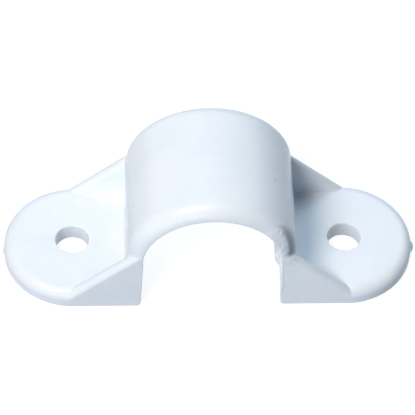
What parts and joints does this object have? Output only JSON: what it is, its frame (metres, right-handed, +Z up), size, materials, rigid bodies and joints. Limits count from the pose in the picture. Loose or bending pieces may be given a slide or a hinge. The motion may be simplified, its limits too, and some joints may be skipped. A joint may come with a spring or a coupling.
{
  "type": "conduit clip",
  "caption": "One-piece moulded plastic half saddle: an arch that holds a round conduit down, braced by ribs to two screw pads.",
  "frame": {"origin": "on the base plane, midway between the two screw holes", "axes": "+X from the left pad to the right pad, Y along the conduit, +Z up away from the wall or ceiling it is screwed to"},
  "size_m": [0.0606, 0.02, 0.0225],
  "materials": {
    "white_plastic": "semi-gloss, cool white, fine tool marks on the rims"
  },
  "bodies": {
    "root": {"conduit_clip": "white_plastic"}
  },
  "joints": []
}
